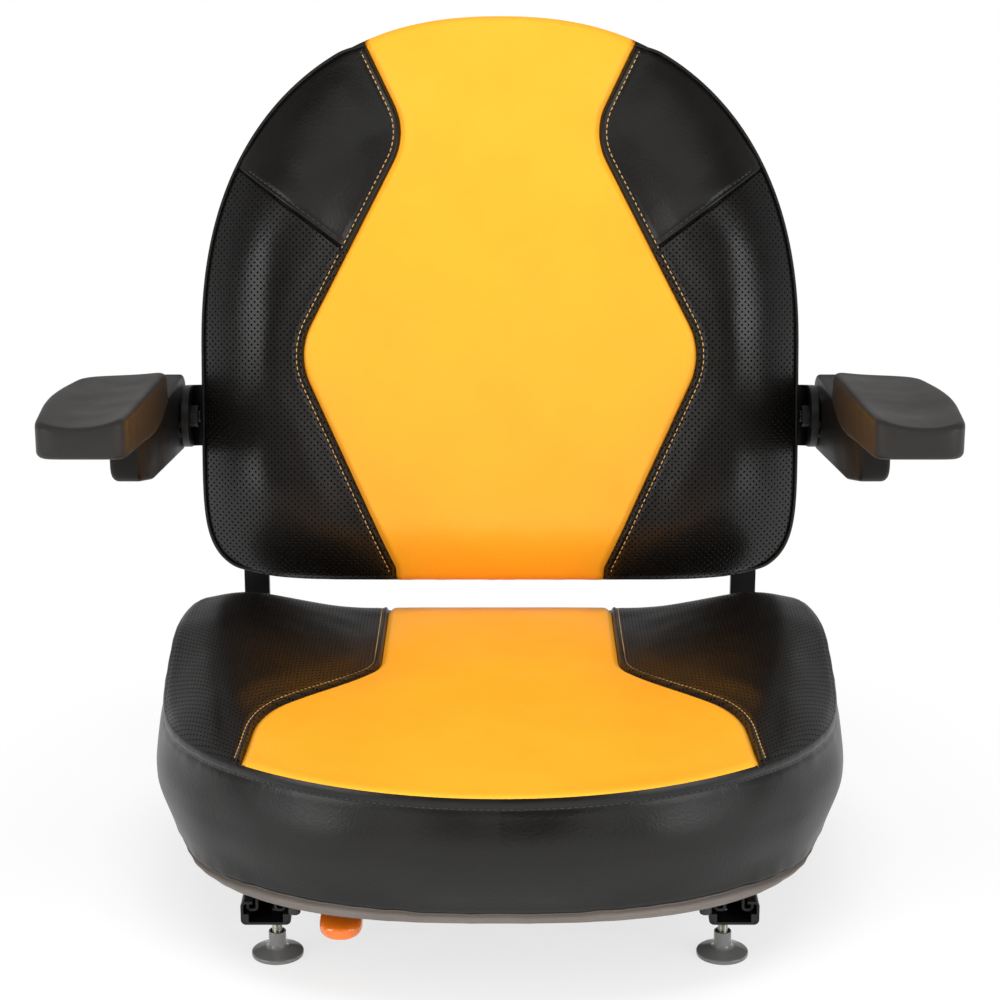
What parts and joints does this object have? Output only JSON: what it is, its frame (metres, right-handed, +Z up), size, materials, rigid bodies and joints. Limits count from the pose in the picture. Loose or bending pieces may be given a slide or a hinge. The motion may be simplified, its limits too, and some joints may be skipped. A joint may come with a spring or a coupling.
{
  "type": "ride-on mower seat",
  "caption": "High-back ride-on mower seat with swing-up armrests on latched slide rails, black vinyl with yellow centre panels, on studs with flanged feet.",
  "frame": {"origin": "on the floor under the feet, in the middle of the four mounting studs", "axes": "+X to the sitter's left, +Y to the rear, +Z up; the seat faces -Y"},
  "size_m": [0.6988, 0.6, 0.6699],
  "materials": {
    "black_steel": "satin",
    "zinc_steel": "satin",
    "grey_plastic": "gloss",
    "glide_plastic": "satin",
    "black_rubber": "matte",
    "black_vinyl": "satin",
    "yellow_vinyl": "satin",
    "board_wood": "matte",
    "shell_plastic": "satin",
    "arm_plastic": "satin",
    "pad_foam": "satin",
    "orange_plastic": "gloss"
  },
  "bodies": {
    "base": {"left_lower_rail": "black_steel", "right_lower_rail": "black_steel", "left_glide_strips": "glide_plastic", "right_glide_strips": "glide_plastic", "mounting_studs": "zinc_steel", "travel_stops": "black_steel", "front_left_foot": "grey_plastic", "front_right_foot": "grey_plastic", "rear_left_foot": "grey_plastic", "rear_right_foot": "grey_plastic"},
    "seat": {"left_upper_rail": "black_steel", "right_upper_rail": "black_steel", "rail_bolts": "zinc_steel", "rail_nuts": "zinc_steel", "seat_pan": "black_steel", "pan_bumpers": "black_rubber", "seat_cushion": "black_vinyl", "seat_center_panel": "yellow_vinyl", "left_upright": "black_steel", "right_upright": "black_steel", "upright_bolts": "black_steel", "upright_nuts": "zinc_steel", "back_board": "board_wood", "back_bolts": "black_steel", "back_nuts": "zinc_steel", "back_cushion": "black_vinyl", "back_center_panel": "yellow_vinyl", "back_shell": "shell_plastic", "shell_screws": "zinc_steel", "left_arm_bracket": "black_steel", "right_arm_bracket": "black_steel", "bracket_bolts": "black_steel", "left_pivot_bolt": "black_steel", "right_pivot_bolt": "black_steel", "pivot_nuts": "black_steel", "arm_stop_pins": "black_steel", "latch_pivot_pin": "zinc_steel", "latch_spring": "zinc_steel"},
    "left_armrest": {"left_arm_support": "arm_plastic", "left_arm_pad": "pad_foam", "left_pivot_bush": "glide_plastic", "left_pad_screws": "zinc_steel"},
    "right_armrest": {"right_arm_support": "arm_plastic", "right_arm_pad": "pad_foam", "right_pivot_bush": "glide_plastic", "right_pad_screws": "zinc_steel"},
    "latch": {"latch_lever": "black_steel", "latch_grip": "orange_plastic"}
  },
  "joints": [
    {"name": "seat_slide", "type": "slide", "parent": "base", "child": "seat", "axis": [0, 1, 0], "range_m": [-0.075, 0.075]},
    {"name": "left_arm_swing", "type": "hinge", "parent": "seat", "child": "left_armrest", "pos_m": [0.292, 0.23706, 0.32676], "axis": [-1, 0, 0], "range_deg": [0, 95]},
    {"name": "right_arm_swing", "type": "hinge", "parent": "seat", "child": "right_armrest", "pos_m": [-0.292, 0.23706, 0.32676], "axis": [-1, 0, 0], "range_deg": [0, 95]},
    {"name": "latch_pull", "type": "hinge", "parent": "seat", "child": "latch", "pos_m": [-0.14, -0.06, 0.0605], "axis": [0, 0, 1], "range_deg": [0, 12], "stiffness_Nm_per_rad": 1, "springref_deg": -8.59}
  ]
}
